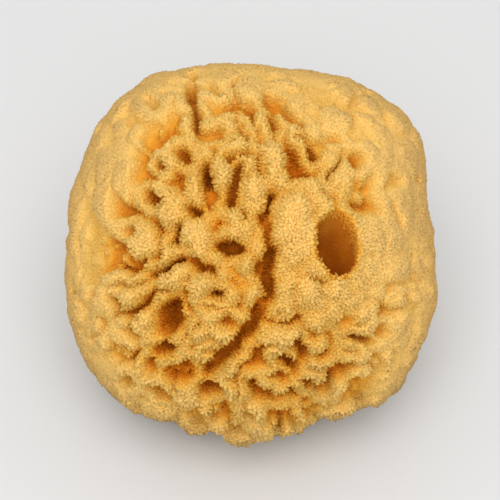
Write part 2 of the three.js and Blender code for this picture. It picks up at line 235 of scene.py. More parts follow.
@dataclass(frozen=True)
class Body:
    """The smooth body under the lobes: a rounded square, seen from the crown, round in depth."""

    crown: Crown
    half_width: float = 70
    half_length: float = 72.5
    half_depth: float = 66
    squareness: float = 2.5
    askew: tuple[float, float, float] = (0.31, 0.17, 0.94)
    short_step: float = 0.03
    guesses: int = 12
    guess_step: float = 0.6
    least_out: float = 2
    swells: tuple[Swell, ...] = (
        Swell(15, 9, -1.9),
        Swell(38, 12, 2.6),
        Swell(75, 10, -1.7),
        Swell(120, 10, 1.4),
        Swell(152, 9, -1.1),
        Swell(198, 12, 1.2),
        Swell(247, 13, -2.6),
        Swell(297, 10, -4.6),
        Swell(345, 9, 1.3),
    )

    def reach(self, directions: Array) -> Array:
        """How far the body reaches from its centre.

        Args:
            directions: Unit vectors in rows.

        Returns:
            One over the root of (|a / A|^n + |b / B|^n)^(2 / n) + (c / C)^2, where a, b and c are
            the direction's parts across, up and out, plus bell-shaped swells round the outline.
        """
        across, up, out = (directions @ axis for axis in (self.crown.across, self.crown.up, self.crown.out))
        power = self.squareness
        square = np.abs(across / self.half_width) ** power + np.abs(up / self.half_length) ** power
        radius = 1 / np.sqrt(square ** (2 / power) + (out / self.half_depth) ** 2)
        angle = np.degrees(np.arctan2(up, across))
        rim = across**2 + up**2
        for swell in self.swells:
            off = (angle - swell.angle + 180) % 360 - 180
            radius += swell.height * np.exp(-((off / swell.spread) ** 2)) * rim
        return radius

    def normals(self, directions: Array) -> Array:
        """The way out of the smooth body.

        Args:
            directions: Unit vectors in rows.

        Returns:
            The cross product of two short steps along the body, turned outwards.
        """
        side = unit(np.cross(directions, np.array(self.askew)))
        other = unit(np.cross(directions, side))
        spans = []
        for along in (side, other):
            step = self.short_step * along
            ahead, behind = unit(directions + step), unit(directions - step)
            spans.append(ahead * self.reach(ahead)[:, None] - behind * self.reach(behind)[:, None])
        normal = unit(np.cross(*spans))
        return normal * np.sign(dot(normal, directions))[:, None]

    def direction_seen(self, x: float, y: float) -> Array:
        """The direction from the centre to what the eye sees at x to the right and y up.

        Args:
            x: Millimetres to the right, in the plane through the centre.
            y: Millimetres up.

        Returns:
            A unit vector, found by steps that bring the guessed depth to the body's own.
        """
        out = self.half_depth
        direction = self.crown.out
        for _ in range(self.guesses):
            near = 1 - out / self.crown.eye_distance
            direction = unit(x * near * self.crown.across + y * near * self.crown.up + out * self.crown.out)
            depth = direction @ self.crown.out * self.reach(direction[None])[0]
            out = max(out + self.guess_step * (depth - out), self.least_out)
        return direction


@dataclass(frozen=True)
class Pit:
    """A pit of the crown: its place as seen, its size, how far it is turned, and its depth."""

    x: float
    y: float
    width: float
    length: float
    turn: float
    depth: float

    def distance(self, x: Array, y: Array) -> Array:
        """How far places are outside the pit's edge, and less than 0 inside it.

        Args:
            x: Millimetres to the right.
            y: Millimetres up.

        Returns:
            The place's distance in pit sizes, less 1, times the pit's lesser half size.
        """
        turn = math.radians(self.turn)
        along = (y - self.y) * math.cos(turn) - (x - self.x) * math.sin(turn)
        aside = (x - self.x) * math.cos(turn) + (y - self.y) * math.sin(turn)
        sizes = np.hypot(along / (self.length / 2), aside / (self.width / 2))
        return (sizes - 1) * min(self.width, self.length) / 2


@dataclass(frozen=True)
class Channel:
    """A channel or slit of the crown, which runs through its points as seen."""

    width: float
    depth: float
    path: tuple[tuple[float, float], ...]

    def distance(self, x: Array, y: Array) -> Array:
        """How far places are outside the channel's edge, and less than 0 inside it.

        Args:
            x: Millimetres to the right.
            y: Millimetres up.

        Returns:
            The least distance to any stretch of the path, less half the width.
        """
        least = np.full(x.shape, np.inf)
        for (from_x, from_y), (to_x, to_y) in zip(self.path, self.path[1:]):
            along_x, along_y = to_x - from_x, to_y - from_y
            share = ((x - from_x) * along_x + (y - from_y) * along_y) / (along_x**2 + along_y**2)
            held = np.clip(share, 0, 1)
            least = np.minimum(least, np.hypot(x - from_x - held * along_x, y - from_y - held * along_y))
        return least - self.width / 2


CROWN_PITS = (
    Pit(-33.5, -26.5, 11.5, 14, -20, 12),
    Pit(-35, -39.5, 5.5, 7.5, 80, 9),
    Pit(-13.5, -16.5, 4, 7, 75, 8),
    Pit(-9, 2.5, 5.5, 11, 85, 10),
    Pit(-39.5, 21.5, 5.5, 8, 70, 7),
    Pit(-27.5, 39.5, 5.5, 7.5, 40, 7),
    Pit(-36, 35.5, 4, 5, 30, 5),
    Pit(-23.5, 16.5, 5, 7, 60, 7),
    Pit(-16.5, -7, 4.5, 6, 60, 6),
    Pit(3, -6.5, 5.5, 7, 20, 7),
    Pit(-2, 14.5, 3, 5, 0, 5),
    Pit(24, 41.5, 4, 6, 20, 7),
    Pit(41, 36.5, 5.5, 7, 80, 6),
    Pit(-47.5, 8.5, 4.5, 7, 80, 4),
    Pit(-39.5, 59, 6, 8, 60, 3),
    Pit(57, 27.5, 5, 9, -35, 3),
    Pit(-9.5, -28, 4.5, 8, 80, 5),
    Pit(0.5, -54, 3.5, 4.5, 30, 8),
    Pit(-1.5, -64, 3.5, 4.5, 60, 7),
    Pit(18.5, -36.5, 4.5, 6, 0, 6),
    Pit(21, -41, 3, 5, 0, 7),
    Pit(17, -46, 4, 4.5, 60, 8),
    Pit(10, -51, 3, 6, 80, 8),
    Pit(13, -43, 4.5, 6, 30, 6),
    Pit(29.5, -54, 4.5, 5, 0, 9),
    Pit(24, -52.5, 3, 6, 60, 7),
    Pit(44, -34, 4, 9, 80, 6),
    Pit(52, -30.5, 4.5, 7, 80, 4),
    Pit(-40.5, -45.5, 4.5, 6, 0, 6),
    Pit(-47, -32, 4.5, 9, 70, 4),
    Pit(-50, -51, 4.5, 7, 60, 5),
    Pit(-38, -55, 4.5, 7, 60, 6),
)

CROWN_CHANNELS = (
    Channel(4.8, 10, ((8, 24), (5, 15), (6.5, 7), (9, 1), (6.5, -7), (7.5, -18))),
    Channel(6.5, 9, ((5.5, -20), (2, -28), (-7, -38.5), (-17, -47.5))),
    Channel(3.6, 7, ((4.5, -27.5), (12.5, -29.5), (19, -27))),
    Channel(4.2, 8, ((-27.5, -2.5), (-33, -6.5), (-41, -9.5))),
    Channel(2.8, 5, ((-42.5, -11.5), (-48, -13.5), (-56, -12.5))),
    Channel(4, 8, ((-23.5, -2), (-21.5, -7.5))),
    Channel(4, 7, ((-23.5, 66), (-20.5, 47), (-12.5, 48))),
    Channel(4, 4, ((-23, 65), (-13, 64))),
    Channel(4.6, 9, ((-18.5, 35), (-17, 20))),
    Channel(4.2, 7, ((-5, 35), (-8.5, 20))),
    Channel(4.2, 8, ((-29, 10), (-31, 4))),
    Channel(4.6, 5, ((-6, 51.5), (-2, 45.5))),
    Channel(4.2, 5, ((-9.5, 38.5), (-1, 40.5))),
    Channel(4.4, 5, ((5, 62), (12, 58.5), (19.5, 51))),
    Channel(4, 5, ((8, 55.5), (9.5, 45.5))),
    Channel(3.8, 6, ((20.5, 47), (25, 44), (33.5, 45))),
    Channel(2.6, 6, ((35.5, 39), (31, 30))),
    Channel(3.6, 5, ((4, 39), (5, 32.5))),
    Channel(3.6, 8, ((-26.5, -15.5), (-24, -23))),
    Channel(3, 5, ((-23.5, -37), (-13, -33.5))),
    Channel(5, 8, ((-20, -56), (-13, -55))),
    Channel(4, 3, ((-58.5, -23), (-61, -33.5))),
    Channel(3.6, 6, ((-36, -57.5), (-27, -60.5))),
    Channel(4, 11, ((3, -57.5), (10, -59), (17.5, -58.5))),
    Channel(4, 7, ((30, -50.5), (36, -48), (41, -45.5))),
    Channel(3.6, 6, ((32, -33.5), (31, -39.5), (27, -42))),
)


@dataclass(frozen=True)
class CrownHollows:
    """The pits and channels of the crown, with ragged edges and soft valleys round them.

    A hollow of full_depth is let out all round by the whole of its let-out. Saddles are rises in the
    floor of a channel.
    """

    crown: Crown
    hollows: tuple[Pit | Channel, ...] = CROWN_PITS + CROWN_CHANNELS
    pit_let_out: float = 1.7
    channel_let_out: float = 1.2
    full_depth: float = 8
    deeper: float = 1.25
    wall: float = 2.4
    wall_share: float = 0.32
    lip: float = 0.3
    ragged: tuple[tuple[float, float], ...] = ((7, 1.1), (3, 1.0))
    uneven: float = 1.3
    uneven_run: float = 5.5
    pits_uneven_share: float = 0.4
    saddles: float = 0.5
    saddle_run: float = 8
    saddle_rise: tuple[float, float] = (-0.35, 0.35)
    valley_reach: float = 3.5
    valley_share: float = 0.22
    front: tuple[float, float] = (-4, 4)
    salt: int = 301

    def sink(self, places: Array) -> tuple[Array, Array, Array]:
        """How far the surface is sunk by the crown's hollows.

        Args:
            places: Points of the smooth body in rows, measured from the centre.

        Returns:
            The depth of the hollows themselves, which is full a wall's width inside their edge
            and less on a channel's saddles, the depth of the bell-shaped valleys that they lie in,
            and how far the nearest edge is.
        """
        x, y = self.crown.seen(places)
        for count, (size, amount) in enumerate(self.ragged):
            x = x + amount * soft_noise(places, size, self.salt + 2 * count)
            y = y + amount * soft_noise(places, size, self.salt + 2 * count + 1)
        deep = np.zeros(len(places))
        valley = np.zeros(len(places))
        nearest = np.full(len(places), np.inf)
        uneven = self.uneven * soft_noise(places, self.uneven_run, self.salt + 9)
        saddle = smooth_step(soft_noise(places, self.saddle_run, self.salt + 11), *self.saddle_rise)
        for hollow in self.hollows:
            channel = isinstance(hollow, Channel)
            let_out = self.channel_let_out if channel else self.pit_let_out
            distance = hollow.distance(x, y) - let_out * min(hollow.depth / self.full_depth, 1)
            distance = distance + uneven * (1 if channel else self.pits_uneven_share)
            share = smooth_step(-distance, -self.lip, max(self.wall, self.wall_share * hollow.width))
            share = share * (1 - self.saddles * saddle if channel else 1)
            beyond = np.maximum(distance, 0) / self.valley_reach
            nearest = np.minimum(nearest, distance)
            deep = np.maximum(deep, self.deeper * hollow.depth * share)
            valley = np.maximum(valley, self.valley_share * hollow.depth * np.exp(-(beyond**2)))
        front = smooth_step(places @ self.crown.out, *self.front)
        return deep * front, valley * front, nearest


@dataclass(frozen=True)
class FlankCanals:
    """The small canals of the flanks and the back, spread evenly by the golden angle."""

    crown: Crown
    body: Body
    count: int = 64
    out_range: tuple[float, float] = (-0.97, 0.28)
    width: tuple[float, float] = (3.5, 7)
    depth: tuple[float, float] = (3, 9)
    longer: float = 0.8
    lowest: float = 10
    wall: float = 1.6
    lip: float = 0.5
    reach: float = 12
    ragged: float = 0.6
    ragged_run: float = 2.4
    salt: int = 29

    def sink(self, places: Array) -> Array:
        """How far the surface is sunk by the canals.

        Args:
            places: Points of the smooth body in rows, measured from the centre.

        Returns:
            The depth at each place: full a wall's width inside a canal's long round edge.
        """
        noises = [soft_noise(places, self.ragged_run, self.salt + 70 + axis) for axis in range(3)]
        ragged = places + self.ragged * np.stack(noises, axis=1)
        deep = np.zeros(len(places))
        for i in range(self.count):
            out = between(self.out_range, (i + 0.5) / self.count)
            round_off = math.sqrt(1 - out * out)
            turn = i * GOLDEN_ANGLE
            direction = out * self.crown.out + round_off * math.cos(turn) * self.crown.across
            direction = direction + round_off * math.sin(turn) * self.crown.up
            place = direction * self.body.reach(direction[None])[0]
            if place[2] + self.crown.centre[2] < self.lowest:
                continue
            width = between(self.width, chance(i, 0, 0, self.salt))
            length = width * (1 + self.longer * chance(i, 1, 0, self.salt))
            depth = between(self.depth, chance(i, 0, 0, self.salt + 1))
            spin = math.pi * chance(i, 2, 0, self.salt)
            axis = self.body.normals(direction[None])[0]
            level = unit(np.cross(axis, self.crown.across))
            side = level * math.cos(spin) + np.cross(axis, level) * math.sin(spin)
            off = ragged - place
            sizes = np.hypot(off @ side / (length / 2), off @ np.cross(axis, side) / (width / 2))
            near = np.abs(off @ axis) < self.reach
            share = smooth_step((1 - sizes) * width / 2, -self.lip, self.wall)
            deep = np.maximum(deep, depth * share * near)
        return deep


@dataclass(frozen=True)
class Mouth:
    """The one wide round mouth: a long funnel that leans to the right and up from its foot."""

    crown: Crown
    body: Body
    x: float = 33
    y: float = 3.6
    width: float = 16.8
    length: float = 21
    turn: float = math.radians(12)
    let_out: float = 0.5
    flare: float = 0.12
    flare_depth: float = 6
    depth: float = 34
    lean_right: float = 0.27
    lean_up: float = 0.47
    reach: float = 20
    ragged: float = 0.05
    ragged_runs: tuple[float, float] = (3, 1.6)
    wall_share: float = 0.62
    wall_power: float = 1.15
    diagonal: float = 1.41
    lit_range: float = 0.35
    least: float = 1e-3
    salt: int = 811
    profile: tuple[tuple[float, float], ...] = ((0, 1.0), (14, 0.93), (26, 0.78), (33, 0.5), (34, 0.4))

    def rim_distance(self, base: Array) -> Array:
        """How far points of the smooth body are outside the mouth's rim, in millimetres."""
        x, y = self.crown.seen(base)
        sizes = np.hypot((x - self.x) / (self.width / 2), (y - self.y) / (self.length / 2))
        return (sizes - 1) * self.width / 2

    def sink(self, places: Array, base: Array) -> tuple[Array, Array, Array]:
        """Carries the places inside the rim down the funnel's wall and on to its foot.

        Args:
            places: Points of the lumpy surface in rows, measured from the centre.
            base: The same points of the smooth body.

        Returns:
            The points moved, how deep each now lies, and how far each is on the side that faces
            the light. A point's distance from the rim, as a share of the radius, sets its depth;
            the profile sets how wide the funnel is there.
        """
        direction = self.body.direction_seen(self.x, self.y)
        centre = direction * self.body.reach(direction[None])[0]
        lean = self.crown.out + self.lean_right * self.crown.across + self.lean_up * self.crown.up
        axis = unit(lean)
        level = unit(np.cross(self.crown.up, axis))
        side = level * math.cos(self.turn) + np.cross(axis, level) * math.sin(self.turn)
        heading = np.cross(axis, side)
        off = base - centre
        along = off @ heading / (self.length / 2 + self.let_out)
        aside = off @ side / (self.width / 2 + self.let_out)
        slow_run, quick_run = self.ragged_runs
        noise = soft_noise(base, slow_run, self.salt) + soft_noise(base, quick_run, self.salt + 2)
        raw = np.hypot(along, aside) * (1 + self.ragged * noise)
        held = np.maximum(raw, self.least)
        to_light = (along + aside) / held
        flared = self.flare * np.clip(to_light / self.diagonal, 0, 1) ** 2
        sizes = raw / (1 + flared)
        inside = (sizes < 1) & (np.abs(off @ axis) < self.reach)
        share = np.clip((1 - sizes) / self.wall_share, 0, 1)
        depth = self.depth * share**self.wall_power
        depths, radii = zip(*self.profile)
        radius = np.interp(depth, depths, radii)
        radius = np.where(share < 1, radius, radii[-1] * sizes / (1 - self.wall_share))
        own = places - centre
        height = own @ axis
        spread = own - height[:, None] * axis
        widened = 1 + flared * np.exp(-depth / self.flare_depth)
        stretch = np.where(inside, radius * widened / held, 1)
        moved = centre + spread * stretch[:, None] + (height * (1 - share) - depth)[:, None] * axis
        lit = np.clip(0.5 + self.lit_range * to_light, 0, 1)
        return np.where(inside[:, None], moved, places), np.where(inside, depth, 0), lit


@dataclass(frozen=True)
class Relief:
    """Lobes, clusters and knobs: each size of lump stands proud, with valleys between.

    Behind the crown only a share of their height is left. Clefts part the lobes, and nicks part the
    clusters near a cleft. The whole places are rounds, as seen, that neither of them opens.
    """

    crown: Crown
    lobe_size: float = 13
    lobe_valley: float = 4
    flank_height: float = 2.2
    crown_height: float = 3.8
    lobe_salt: int = 11
    behind: float = 0.3
    gain: tuple[float, float] = (0, 30)
    stretch_from: float = 6
    stretched: float = 0.62
    lump_reach: float = 0.9
    above: float = 0.35
    below: float = 0.65
    cluster_size: float = 7.5
    cluster_valley: float = 1.8
    cluster_height: float = 1.6
    cluster_salt: int = 66
    knob_size: float = 2.7
    knob_valley: float = 0.8
    knob_height: float = 1.1
    knob_salt: int = 57
    fine_trimmed: float = 0.45
    ragged: tuple[tuple[float, float], ...] = ((4.4, 2.6), (2.2, 1.8))
    cleft_edge: float = 0.6
    cleft_width: float = 6.5
    cleft_depth: float = 8.5
    cleft_run: float = 17
    cleft_least: float = 0.15
    cleft_opens: tuple[float, float] = (-0.4, 0.4)
    cleft_salt: int = 511
    lower_by: float = 30
    nick_width: float = 5
    nick_depth: float = 7
    nick_run: float = 11
    nick_ragged: float = 0.6
    nick_lower: float = 0.7
    nick_opens: tuple[float, float] = (0, 0.7)
    nick_reach: tuple[float, float] = (5, 9)
    open_frayed: tuple[float, float] = (0, 0.6)
    trimmed_share: float = 0.4
    facing: tuple[float, float] = (0, 35)
    whole_edge: tuple[float, float] = (0.8, 1.2)
    whole: tuple[tuple[float, float, float], ...] = (
        (17, 7, 13),
        (20, 22, 8),
        (15, -13, 11),
        (27, -22, 10),
        (48, 2, 14),
        (42, -14, 12),
    )

    def drawn_out(self, base: Array) -> Array:
        """Points of the frame, drawn together along the crown's up so that lobes high on it are long.

        Args:
            base: Points of the smooth body in rows, measured from the centre.

        Returns:
            The points in the frame, moved down by a share of their height above a line.
        """
        _, y = self.crown.seen(base)
        down = (1 - self.stretched) * np.maximum(y - self.stretch_from, 0)
        return base + np.array(self.crown.centre) - down[:, None] * self.crown.up

    def lumps(self, places: Array, size: float, valley: float, salt: int) -> Array:
        """Lumps of one size.

        Args:
            places: Points in rows.
            size: The lumps' size.
            valley: How wide the valleys between them are.
            salt: Chooses where they lie.

        Returns:
            The share above on top of a lump, and less the share below in a valley: a bowl turned
            over, less a bell on the line where two seeds are as near.
        """
        nearest, second, _ = nearest_seeds(places, size, salt)
        gap = np.exp(-(((second - nearest) / valley) ** 2))
        bowl = (nearest / (self.lump_reach * size)) ** 2
        return self.above * (1 - bowl) - self.below * gap

    def clefts(self, base: Array, frayed: Array) -> Array:
        """How deep the open clefts between the lobes of the crown are.

        Args:
            base: Points of the smooth body in rows, measured from the centre.
            frayed: How frayed the surface is at each.

        Returns:
            A ragged band along the lines between lobes, widest open where a slow noise is high or
            low on the crown, and nicks between the clusters beside it. Neither opens in the whole
            places, and on the trimmed flanks that face the eye only a share of them is left.
        """
        places = self.drawn_out(base)
        nearest, second, _ = nearest_seeds(places, self.lobe_size, self.lobe_salt)
        ragged = np.zeros(len(places))
        for count, (run, amount) in enumerate(self.ragged):
            ragged += amount * soft_noise(places, run, self.cleft_salt + count)
        x, y = self.crown.seen(base)
        lower = smooth_step(-y, 0, self.lower_by)
        apart = second - nearest
        band = 1 - smooth_step(apart + ragged, self.cleft_edge, self.cleft_width)
        slow = soft_noise(places, self.cleft_run, self.cleft_salt + 2) + lower
        opened = between((self.cleft_least, 1), smooth_step(slow, *self.cleft_opens))
        nearest, second, _ = nearest_seeds(places, self.cluster_size, self.cluster_salt)
        nick = 1 - smooth_step(second - nearest + self.nick_ragged * ragged, 0, self.nick_width)
        slow = soft_noise(places, self.nick_run, self.cleft_salt + 8) + self.nick_lower * lower
        nicked = smooth_step(slow, *self.nick_opens) * (1 - smooth_step(apart, *self.nick_reach))
        deep = np.maximum(self.cleft_depth * band * opened, self.nick_depth * nick * nicked)
        for whole_x, whole_y, radius in self.whole:
            far = np.hypot(x - whole_x, y - whole_y) / radius
            deep = deep * smooth_step(far, *self.whole_edge)
        facing = smooth_step(base @ self.crown.out, *self.facing)
        return deep * np.maximum(smooth_step(frayed, *self.open_frayed), self.trimmed_share * facing)

    def lift(self, base: Array, frayed: Array) -> tuple[Array, Array, Array]:
        """How far the lumps stand out of the smooth body.

        Args:
            base: Points of the smooth body in rows, measured from the centre.
            frayed: How frayed the surface is at each.

        Returns:
            The height of all sizes of lump together, how low it lies under their tops, and the
            knobs' own share of it from 0 to 1.
        """
        places = self.drawn_out(base)
        lobe = self.lumps(places, self.lobe_size, self.lobe_valley, self.lobe_salt)
        cluster = self.lumps(places, self.cluster_size, self.cluster_valley, self.cluster_salt)
        knob = self.lumps(places, self.knob_size, self.knob_valley, self.knob_salt)
        lobes = between((self.flank_height, self.crown_height), frayed)
        fine = between((self.fine_trimmed, 1), frayed)
        clusters, knobs = fine * self.cluster_height, fine * self.knob_height
        left = between((self.behind, 1), smooth_step(base @ self.crown.out, *self.gain))
        lift = left * (lobes * lobe + clusters * cluster + knobs * knob)
        low = left * (self.above * (lobes + clusters) - lobes * lobe - clusters * cluster)
        return lift, low, np.clip(knob + self.below, 0, 1)


@dataclass(frozen=True)
class Notches:
    """Notches in the outline at the lower right: each a barrel laid along the eye's way."""

    crown: Crown
    body: Body
    barrels: tuple[tuple[float, float, float], ...] = ((67.5, -38, 9), (61.5, -47, 8))
    half_length: float = 6.5
    end: float = 1
    sunk_share: float = 0.1

    def sink(self, places: Array) -> tuple[Array, Array]:
        """Moves places out of the barrels, towards the centre.

        Args:
            places: Points in rows, measured from the centre.

        Returns:
            The places moved, and how far each was.
        """
        moved = places.copy()
        for x, y, width in self.barrels:
            inward = -unit(x * self.crown.across + y * self.crown.up)
            middle = -inward * (self.body.reach(-inward[None])[0] + self.sunk_share * width)
            tangent = np.cross(inward, self.crown.out)
            off = moved - middle
            half = np.sqrt(np.maximum((width / 2) ** 2 - (off @ tangent) ** 2, 0))
            beyond = np.abs(off @ self.crown.out) - self.half_length
            within = 1 - smooth_step(beyond, -self.end, self.end)
            push = np.maximum(half - off @ inward, 0) * (half > 0) * within * (off @ inward > -width)
            moved = moved + push[:, None] * inward
        return moved, np.linalg.norm(moved - places, axis=1)


@dataclass
class Surface:
    """The skin's points with what the tufts and the finish need to know about them."""

    points: Array
    quads: Array
    depth: Array
    bare: Array
    frayed: Array
    knob: Array
    painted_low_shade: Array
    body_normals: Array
    normals: Array = field(default_factory=lambda: np.zeros((0, 3)))
    steep: Array = field(default_factory=lambda: np.zeros(0))

    def areas(self) -> Array:
        """The area of each square: half its diagonals' cross product."""
        corners = self.points[self.quads]
        spans = np.cross(corners[:, 2] - corners[:, 0], corners[:, 3] - corners[:, 1])
        return np.linalg.norm(spans, axis=1) / 2

    def work_out_normals(self) -> None:
        """Sets each point's normal to the mean of its faces' normals, weighted by their area.

        How steep the skin is there is how far its normal leans from the smooth body's: 0 on top of
        a lobe, 1 on an upright wall.
        """
        corners = self.points[self.quads]
        faces = np.cross(corners[:, 2] - corners[:, 0], corners[:, 3] - corners[:, 1])
        total = np.zeros_like(self.points)
        for corner in range(4):
            np.add.at(total, self.quads[:, corner], faces)
        self.normals = unit(total)
        self.steep = np.clip(1 - dot(self.normals, self.body_normals), 0, 1)


@dataclass(frozen=True)
class SpongeSkin:
    """The closed skin that the tufts stand on.

    The shares named shown say how much of each kind of depth counts for the painted shade in the fibre's
    colour, which is darker and more rust where the skin lies deeper.
    """

    crown: Crown
    body: Body
    relief: Relief
    hollows: CrownHollows
    canals: FlankCanals
    mouth: Mouth
    notches: Notches
    squares: int = 127
    crowding: float = 0.42
    under_tips: tuple[float, float] = (1.9, 2.1)
    upright: float = 0.15
    cut_edge: float = 9
    rim_height: float = 0.8
    rim_reach: float = 6
    cleft_gap: tuple[float, float] = (1, 4.5)
    mouth_gap: tuple[float, float] = (2, 6)
    flattened: float = 0.7
    flattened_by: tuple[float, float] = (1, 5)
    wall_fibres: float = 0.3
    bare_from: tuple[float, float] = (2, 5)
    bare_mouth: tuple[float, float] = (2, 7)
    valley_shown: float = 0.5
    canal_shown: float = 1.5
    notch_shown: float = 0.3
    low_shown: float = 0.8
    pore_shown: float = 2.5
    # Painted light in the mouth: the least depth its wall counts as, and the shares of its depth on the
    # side away from the light and on the side that faces it.
    throat_least: float = 3.4
    throat_shade_sides: tuple[float, float] = (0.34, 0.04)
    pore_size: float = 3.2
    pore_depth: float = 2.4
    pore_radius: float = 0.42
    pore_wall: float = 0.5
    pore_upright: float = 0.2
    pore_salt: int = 91
    # Painted shade low down: below the first height the bottom is painted fully darker, above the second
    # not at all.
    painted_low_shade: tuple[float, float] = (10, 66)

    def directions(self) -> tuple[Array, Array]:
        """The grid of directions: six squares of a cube, swollen to a ball.

        Returns:
            Unit vectors in rows, crowded towards the crown, and the four corners of each square,
            in order round its outside. Points on the cube's edges are shared.
        """
        steps = np.tan(np.linspace(-1, 1, self.squares + 1) * math.pi / 4)
        u, v = np.meshgrid(steps, steps, indexing="ij")
        axes = np.stack([self.crown.across, self.crown.up, self.crown.out])
        points, quads, start = [], [], 0
        for axis in range(3):
            for sign in (1, -1):
                normal, first = sign * axes[axis], axes[(axis + 1) % 3]
                second = np.cross(normal, first)
                points.append((normal + u[..., None] * first + v[..., None] * second).reshape(-1, 3))
                index = start + np.arange((self.squares + 1) ** 2).reshape(u.shape)
                corners = (index[:-1, :-1], index[1:, :-1], index[1:, 1:], index[:-1, 1:])
                quads.append(np.stack(corners, axis=-1).reshape(-1, 4))
                start += index.size
        every = unit(np.concatenate(points))
        _, first_of, merged = np.unique(np.round(every, 6), axis=0, return_index=True, return_inverse=True)
        directions = unit(every[first_of] + self.crowding * self.crown.out)
        return directions, merged.reshape(-1)[np.concatenate(quads)]

    def shape(self) -> Surface:
        """Works out the skin.

        Returns:
            The surface: the smooth body, lifted by its lumps and let in by the tufts' length, then
            sunk by its hollows along its own normal, tipped a little towards the crown's, sunk by
            the mouth, and cut off flat at the bottom, with pores in the cut.
        """
        directions, quads = self.directions()
        base = directions * self.body.reach(directions)[:, None]
        centre = np.array(self.crown.centre)
        normals = self.body.normals(directions)
        frayed = self.crown.frayed(base)
        lift, low, knob = self.relief.lift(base, frayed)
        above_cut = smooth_step(base[:, 2] + centre[2], 0, self.cut_edge)
        rim_distance = self.mouth.rim_distance(base)
        rim = (1 - smooth_step(rim_distance, 0, self.rim_reach)) * (base @ self.crown.out > 0)
        deep, valley, edge = self.hollows.sink(base)
        deep = np.maximum(deep, self.relief.clefts(base, frayed) * smooth_step(edge, *self.cleft_gap))
        deep = deep * smooth_step(rim_distance, *self.mouth_gap)
        flat = self.flattened * smooth_step(deep, *self.flattened_by)
        lift = (lift + (self.rim_height - lift) * rim) * above_cut * (1 - flat)
        canal = self.canals.sink(base) * above_cut
        axis = unit(normals + self.upright * frayed[:, None] * self.crown.out)
        under = between(self.under_tips, frayed)
        raised = base + directions * (lift - valley)[:, None] - normals * under[:, None]
        lumpy = raised - axis * np.maximum(deep, canal)[:, None]
        placed, mouth_depth, lit = self.mouth.sink(lumpy, base)
        placed, notch_depth = self.notches.sink(placed)
        points = placed + centre
        # Painted light in the mouth: its wall is painted lighter on the side that faces the light, and
        # darker with depth.
        throat = self.throat_least + between(self.throat_shade_sides, lit) * mouth_depth
        throat = np.where(mouth_depth > 0, throat, 0)
        # Painted shade: deeper places in hollows, valleys, canals and notches, and the low ground between
        # lumps, are coloured darker.
        sunk = [deep + self.valley_shown * valley, self.canal_shown * canal, throat]
        depth = np.maximum.reduce([*sunk, self.notch_shown * notch_depth]) + self.low_shown * low
        bare = (1 - self.wall_fibres) * smooth_step(np.maximum(deep, canal), *self.bare_from)
        bare = np.maximum(bare, smooth_step(mouth_depth, *self.bare_mouth))
        pores, _, _ = nearest_seeds(points * [1, 1, self.pore_upright], self.pore_size, self.pore_salt)
        inside = self.pore_radius * self.pore_size - pores
        pore = self.pore_depth * smooth_step(inside, 0, self.pore_wall)
        cut = points[:, 2] < 0
        # Painted shade in the pores of the cut bottom.
        depth = np.where(cut, self.pore_shown * pore, depth)
        points[:, 2] = np.where(cut, pore, points[:, 2])
        # Painted shade low down: 1 near the cut, fading to 0 higher up. It darkens the fibre's colour and
        # dims its tips.
        painted_low_shade = 1 - smooth_step(points[:, 2], *self.painted_low_shade)
        surface = Surface(points, quads, depth, bare, frayed, knob, painted_low_shade, normals)
        surface.work_out_normals()
        return surface


@dataclass(frozen=True)
class Shades:
    """Places on the scale of fibre colours: the trimmed flanks' and the crown's own tones, with painted
    shade added, down to a dark painted shade low down at 0 and up to a deep rust painted shade in a hollow
    at 1.
    """

    flank: float = 0.11
    crown: float = 0.26
    # Painted shade between the knobs on the crown.
    valleys: float = 0.03
    # How far the painted shade low down pulls the place towards the dark end of the scale.
    painted_low_shade: float = 0.7
    # Painted shade in hollows: how far full depth raises the place towards rust.
    deep: float = 0.62
    deep_by: float = 6.6
    # Painted shade on steep walls, which face away from the light.
    walls: float = 0.12
    wall_steep: tuple[float, float] = (0.05, 0.6)

    def places(self, depth: Array, frayed: Array, knob: Array, painted_low_shade: Array, steep: Array) -> Array:
        """The place on the scale of each part of the surface.

        Args:
            depth: How deep it lies in a hollow, in millimetres. Deeper places get more painted shade.
            frayed: 0 on the trimmed flanks, 1 on the crown.
            knob: 0 in the valleys between knobs, 1 on top of them.
            painted_low_shade: 1 near the cut, 0 well above it: how far the bottom is painted darker, as
                shade.
            steep: 0 on top of a lobe, 1 on an upright wall.

        Returns:
            The flank's or the crown's own place, with painted shade added: a little higher between knobs,
            lower near the cut, rising with depth as one less a bell curve, and higher on steep walls.
        """
        sunk = 1 - np.exp(-((np.maximum(depth, 0) / self.deep_by) ** 2))
        own = between((self.flank, self.crown), frayed) + self.valleys * frayed * (1 - knob)
        wall = self.walls * smooth_step(steep, *self.wall_steep) * (1 - sunk)
        return own * (1 - self.painted_low_shade * painted_low_shade) + self.deep * sunk + wall


class TuftZone(Enum):
    """The zones that tufts are made for, and the piece's name for each."""

    LEFT = "tufts_left"
    MIDDLE = "tufts_middle"
    RIGHT = "tufts_right"
    BACK = "tufts_back"


